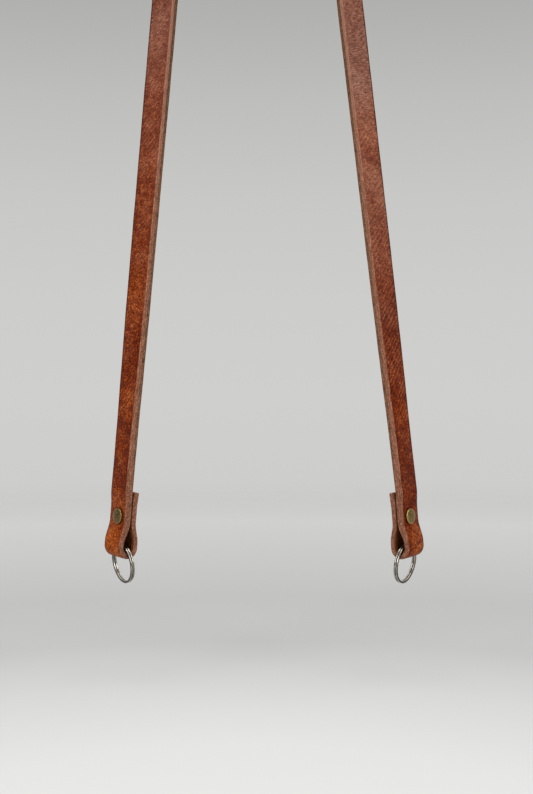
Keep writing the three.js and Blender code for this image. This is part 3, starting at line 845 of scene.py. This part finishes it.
def leather_material(grain_group, scuffs):
    material, tree, shader = new_material("brown_leather")
    band = attribute(tree, "band", "Vector")
    height = attribute(tree, "height")
    grain = grouped(tree, grain_group, {"Vector": band, "Pebble Size": 1.0, "Creased": attribute(tree, "creased")})
    wear = grouped(tree, scuffs, {"Vector": band, "Density": 1.0})

    # The smooth face: deep red-brown mottled with orange, with a painted sheen of the light overhead that turns it
    # paler, pinkish and calmer further up
    blotch = noise(tree, band, 0.06, 3.0, 0.55)
    cloud = noise(tree, band, 0.28, 4.0, 0.6, 0.3)
    speck = noise(tree, band, 0.85, 3.0, 0.65, 0.4)
    grit = noise(tree, band, 1.9, 2.0, 0.6)
    sheen_level = attribute(tree, "painted_sheen")
    pebbles = off_centre(tree, grain.outputs["Pebble"], 0.2)
    fine = total(tree, off_centre(tree, speck, 1.5), off_centre(tree, grit, 1.1), pebbles)
    creased = held(tree, attribute(tree, "creased"))
    contrast = total(tree, 1.3, times(tree, sheen_level, -0.9), times(tree, creased, -0.2))
    ripple = noise(tree, stretched(tree, band, 8.0, (4.0, 1.0, 1.0)), 1.4, 2.0, 0.5, 0.3)
    ripple = times(tree, off_centre(tree, ripple, 1.6), sheen_level)
    fine = total(tree, times(tree, fine, contrast), ripple, times(tree, grain.outputs["Crease"], 0.35))
    calm = calc(tree, "SUBTRACT", 1.0, times(tree, sheen_level, 0.6))
    # Tone patches, and low on each bend a painted glow of light thrown up from the floor
    patch_and_glow = times(tree, attribute(tree, "patch_and_glow"), 0.15)
    mottle = times(tree, off_centre(tree, cloud, 0.95), calm)
    tone = total(tree, 0.5, patch_and_glow, off_centre(tree, blotch, 0.5), mottle, fine)
    rich = three_tones(tree, tone, (58, 15, 5), (127, 43, 7), (204, 104, 24))
    sheen_hazed = three_tones(tree, tone, (88, 54, 44), (143, 98, 82), (192, 144, 122))
    # Painted sheen: further up, the face is blended towards a pale pinkish haze that stands in for light glancing off
    # it
    painted_sheen = held(tree, total(tree, sheen_level, off_centre(tree, blotch, 0.6), off_centre(tree, cloud, 0.4)))
    face = blend(tree, painted_sheen, rich, sheen_hazed)
    broken = times(tree, contrast, span(tree, speck, 0.38, 0.62, 0.15, 0.7))
    lines = times(tree, grain.outputs["Valley"], broken, clamp=True)
    face = blend(tree, lines, face, colour(66, 24, 16))
    face = blend(tree, times(tree, wear.outputs["Scratch"], 0.45), face, colour(196, 136, 92))
    across = node(tree, "SeparateXYZ", {0: band}).outputs["X"]
    rubbed = total(tree, across, off_centre(tree, speck, 1.6))
    face = blend(tree, span(tree, rubbed, -5.9, -6.7, 0.0, 0.85), face, colour(50, 22, 15))
    front = times(tree, span(tree, rubbed, 4.2, 6.8), span(tree, height, 160.0, 60.0, 0.1, 0.3))
    face = blend(tree, front, face, colour(70, 22, 12))
    face = blend(tree, times(tree, attribute(tree, "press"), 0.6), face, colour(60, 22, 10))

    # The cut edge: a pale layer under the smooth face and a darker, looser one below it
    fibre = noise(tree, stretched(tree, band, 0.0, (1.0, 6.0, 0.45)), 1.2, 4.0, 0.65)
    fuzz = noise(tree, band, 1.1, 5.0, 0.75)
    tuft = noise(tree, stretched(tree, band, 0.0, (1.0, 2.0, 1.0)), 3.2, 4.0, 0.7)
    nap = total(tree, off_centre(tree, fibre, 1.8), off_centre(tree, fuzz, 1.3), off_centre(tree, tuft, 1.7), 0.5)
    lower, upper = span(tree, height, 75.0, 25.0, -0.08, 0.32), span(tree, height, 190.0, 270.0, 0.0, -0.1)
    layer = total(tree, attribute(tree, "layer"), off_centre(tree, fuzz, 0.18), lower, upper)
    pale = three_tones(tree, nap, (96, 56, 40), (150, 98, 76), (186, 136, 112), 0.15, 0.85)
    loose = three_tones(tree, nap, (62, 40, 29), (118, 83, 61), (166, 122, 94), 0.15, 0.85)
    loose = blend(tree, span(tree, height, 170.0, 280.0, 0.0, 0.3), loose, colour(72, 50, 34))
    # Painted sheen: higher up, the pale layer is blended paler and pinker, as the light overhead hazes the smooth face
    pale = blend(tree, span(tree, height, 150.0, 290.0, 0.0, 0.35), pale, colour(182, 136, 118))
    edge = blend(tree, span(tree, layer, 0.33, 0.47), loose, pale)
    handled = times(tree, span(tree, height, 60.0, 28.0), span(tree, fuzz, 0.35, 0.65, 0.5, 0.0))
    edge = blend(tree, handled, edge, colour(84, 54, 40))

    # The inner face: napped and warm, with painted shade darkening it inside the eye
    eye_shade_nap = three_tones(tree, nap, (60, 30, 16), (96, 52, 28), (132, 78, 44), 0.15, 0.85)
    open_nap = three_tones(tree, nap, (84, 50, 32), (132, 84, 56), (172, 122, 88), 0.15, 0.85)
    # Painted shade: below the eye's top the inner face takes the darker colour
    flesh = blend(tree, span(tree, height, 18.0, 42.0), eye_shade_nap, open_nap)

    ragged = off_centre(tree, fuzz, 0.5)
    smooth_mask = span(tree, total(tree, attribute(tree, "grain_side"), ragged), 0.35, 0.65)
    inner_mask = span(tree, total(tree, attribute(tree, "flesh_side"), ragged), 0.35, 0.65)
    base = blend(tree, inner_mask, edge, flesh)
    rough = total(tree, span(tree, cloud, 0.3, 0.7, 0.4, 0.56), times(tree, painted_sheen, 0.1))
    relief = blend_values(tree, smooth_mask, nap, grain.outputs["Height"])
    feed(tree, shader, {
        "Base Color": blend(tree, smooth_mask, base, face),
        "Roughness": blend_values(tree, smooth_mask, 0.85, rough),
        "Normal": bump(tree, relief, 0.6, 0.0002),
        "Specular IOR Level": 0.05,
        "Specular Tint": (1.0, 0.6, 0.36, 1.0),
    })
    return material


def brass_material(scuffs):
    material, tree, shader = new_material("antique_brass")
    disc = attribute(tree, "disc", "Vector")
    wear = grouped(tree, scuffs, {"Vector": disc, "Density": 0.8})
    radius = vector_calc(tree, "LENGTH", {0: disc}, "Value")
    patchy = noise(tree, disc, 0.9, 4.0, 0.6)
    # Painted highlight: the turned-over rim is painted lighter all round, and made a little smoother
    rim = span(tree, total(tree, radius, off_centre(tree, patchy, 0.8)), 3.2, 4.1)
    aged = blend(tree, span(tree, patchy, 0.3, 0.7), colour(100, 82, 46), colour(158, 132, 80))
    base = blend(tree, rim, aged, colour(176, 152, 96))
    tarnish = times(tree, attribute(tree, "tarnish"), span(tree, patchy, 0.25, 0.75, 1.0, 0.5))
    base = blend(tree, tarnish, base, colour(66, 54, 34))
    relief = calc(tree, "SUBTRACT", noise(tree, disc, 1.4, 3.0), times(tree, wear.outputs["Scratch"], 0.4))
    feed(tree, shader, {
        "Base Color": blend(tree, times(tree, wear.outputs["Scratch"], 0.5), base, colour(200, 178, 124)),
        "Metallic": 1.0,
        "Roughness": calc(tree, "SUBTRACT", span(tree, patchy, 0.3, 0.7, 0.3, 0.46), times(tree, rim, 0.1)),
        "Normal": bump(tree, relief, 0.2, 0.0001),
    })
    return material


def nickel_material(scuffs):
    material, tree, shader = new_material("polished_nickel")
    wire = attribute(tree, "wire", "Vector")
    wear = grouped(tree, scuffs, {"Vector": wire, "Density": 1.0})
    drawn = noise(tree, stretched(tree, wire, 0.0, (9.0, 0.2, 1.0)), 2.0, 3.0, 0.6)
    # Painted reflections and shadow: slow noise along the wire paints darker and lighter stretches where the real ring
    # reflects dark things and lies in shade
    patchy = noise(tree, stretched(tree, wire, 0.0, (3.0, 1.0, 1.0)), 0.7, 4.0, 0.6)
    base = blend(tree, span(tree, patchy, 0.35, 0.65), colour(128, 121, 109), colour(206, 200, 188))
    # Painted shade between the two turns, taken with grime there: where the wire faces the other turn it is darker and
    # rougher
    inner = span(tree, attribute(tree, "groove"), 0.45, 0.92)
    smear = times(tree, wear.outputs["Smear"], 0.06)
    relief = calc(tree, "SUBTRACT", drawn, wear.outputs["Scratch"])
    feed(tree, shader, {
        "Base Color": blend(tree, times(tree, inner, 0.85), base, colour(56, 51, 45)),
        "Metallic": 1.0,
        "Roughness": total(tree, span(tree, drawn, 0.3, 0.7, 0.16, 0.26), times(tree, inner, 0.2), smear),
        "Normal": bump(tree, relief, 0.12, 0.00005),
    })
    return material


# Stage, light and camera

FLOOR_HEIGHT = -0.5815
FLOOR_RADIUS = 2.4
LOOP_MIDDLE = Vector((0.006, 0.0, -0.4))
CAMERA_PLACE = (0.00765, -0.577, -0.4319)
CAMERA_LENS, CAMERA_SENSOR = 50.0, 36.0
# Place and size in metres, and watts
SOFTBOXES = {
    "softbox_left": ((-0.75, -0.75, 0.0), (0.5, 0.8), 5.5),
    "softbox_right": ((0.85, -0.7, 0.0), (0.5, 0.8), 5.0),
    "softbox_top": ((0.0, -0.15, 0.75), (0.9, 0.6), 6.0),
}
POOL_CENTRE = (0.0, -0.25, FLOOR_HEIGHT)
# Distance from the middle of the painted pool of light in metres, and how pale the floor is painted there
FLOOR_TONES = [(0.0, 0.615), (0.15, 0.6), (0.25, 0.545), (0.35, 0.465), (0.5, 0.465), (0.8, 0.58), (1.0, 0.66)]
# Levels of the dimmer room that the pieces reflect: all round, towards the front, and what is added overhead and behind
ROOM_LEVEL, ROOM_FRONT, ROOM_OVERHEAD, ROOM_BACK = 0.42, 0.12, 0.5, 0.5
# Half of one plus the sine of the height that the light comes from, and its level
BACKDROP_TONES = [(0.0, 0.55), (0.46, 0.612), (0.5, 0.624), (0.544, 0.61), (0.588, 0.578), (0.63, 0.515),
                  (0.6675, 0.435), (0.75, 0.4), (0.88, 0.62), (1.0, 0.95)]


def studio_floor():
    """A pale round floor, flat: rings of points whose radii grow evenly. Its colour is a painted pool of light in front
    of the strap, following the distance from its middle, and far out it fades into the backdrop, so that no edge shows."""
    rings, spokes = FLOOR_CELLS
    radius = np.linspace(0, FLOOR_RADIUS, rings + 1)[1:]
    points = np.vstack([[0.0, 0.0], circle_rows(radius, spokes).reshape(-1, 2)])
    points = np.column_stack([points, np.full(len(points), FLOOR_HEIGHT)])
    indices = 1 + np.arange(rings * spokes).reshape(rings, spokes)
    hub = np.stack([np.zeros(spokes, int), indices[0], np.roll(indices[0], -1)], axis=-1)
    quads = grid_quads(indices).reshape(-1, 4)[:, ::-1]
    mesh = bpy.data.meshes.new("studio_floor")
    mesh.from_pydata(points.tolist(), [], hub.tolist() + quads.tolist())
    floor = add_object("studio_floor", mesh)
    material, tree, shader = new_material("pale_paper")
    place = node(tree, "TexCoord").outputs["Object"]
    pool = vector_calc(tree, "DISTANCE", {0: place, 1: POOL_CENTRE}, "Value")
    far = vector_calc(tree, "DISTANCE", {0: place, 1: (0.0, 0.0, FLOOR_HEIGHT)}, "Value")
    facing = node(tree, "NewGeometry").outputs["Backfacing"]
    feed(tree, shader, {
        "Base Color": greys(tree, pool, FLOOR_TONES),
        "Alpha": times(tree, span(tree, far, 0.5, 1.5, 1.0, 0.0), calc(tree, "SUBTRACT", 1.0, facing)),
        "Roughness": span(tree, noise(tree, place, 30.0), 0.3, 0.7, 0.85, 0.95),
        "Specular IOR Level": 0.1,
    })
    floor.data.materials.append(material)


def backdrop():
    """The backdrop's light by the height it comes from: pale level with the strap, greyer above, bright overhead."""
    world = bpy.data.worlds.new("studio")
    bpy.context.scene.world = world
    world.use_nodes = True
    tree = world.node_tree
    way = node(tree, "TexCoord").outputs["Generated"]
    axes = node(tree, "SeparateXYZ", {0: way}).outputs
    height, depth = axes["Z"], axes["Y"]
    tones = greys(tree, total(tree, times(tree, height, 0.5), 0.5), BACKDROP_TONES)
    # What the pieces reflect is a dimmer room, darkest towards the front, where the camera stands
    room = span(tree, depth, -1.0, -0.45, ROOM_FRONT, ROOM_LEVEL)
    overhead = span(tree, height, 0.55, 0.95, 0.0, ROOM_OVERHEAD)
    room = total(tree, room, overhead, span(tree, depth, 0.3, 0.9, 0.0, ROOM_BACK))
    seen = node(tree, "LightPath").outputs["Is Camera Ray"]
    feed(tree, tree.nodes["Background"], {"Color": blend(tree, seen, room, tones)})


def soft_light(name, place, size, watts):
    """A white rectangle of light that points at the middle of the loop and can't be seen itself."""
    lamp = bpy.data.lights.new(name, "AREA")
    lamp.shape = "RECTANGLE"
    lamp.size, lamp.size_y = size
    lamp.energy = watts
    made = add_object(name, lamp)
    made.location = place
    made.rotation_euler = (LOOP_MIDDLE - Vector(place)).to_track_quat("-Z", "Y").to_euler()
    made.visible_camera = False


def studio():
    """Backdrop, floor, lights and the camera that took the photograph."""
    scene = bpy.context.scene
    backdrop()
    studio_floor()
    for name, light in SOFTBOXES.items():
        soft_light(name, *light)
    scene.view_settings.view_transform = "Standard"
    camera = add_object("camera", bpy.data.cameras.new("camera"))
    camera.data.sensor_width, camera.data.lens = CAMERA_SENSOR, CAMERA_LENS
    camera.location = CAMERA_PLACE
    camera.rotation_euler = (math.radians(90), 0.0, 0.0)
    scene.camera = camera


def finish_piece(piece, material, body, slot, *nodes):
    """Gives a piece its material and the body that it rides on, and hides the solids that it stands for. The slot is
    not used.
    """
    piece.data.materials.append(material)
    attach(piece, body)
    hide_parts(*nodes)


studio()
grain_group, scuffs = hide_grain_group(), scuff_group()
leather, brass, nickel = leather_material(grain_group, scuffs), brass_material(scuffs), nickel_material(scuffs)
finish_piece(leather_band(), leather, "strap_body", "leather", "leather_strap")
for name, half in HALVES.items():
    for part in ("cap", "base"):
        piece = rivet_piece(f"{name}_{part}", half, front=part == "cap")
        finish_piece(piece, brass, "strap_body", "rivet_brass", f"{name}_rivet_{part}")
    ring = split_ring(f"{name}_ring_wire", half)
    finish_piece(ring, nickel, f"{name}_ring", "ring_nickel", f"{name}_split_ring")
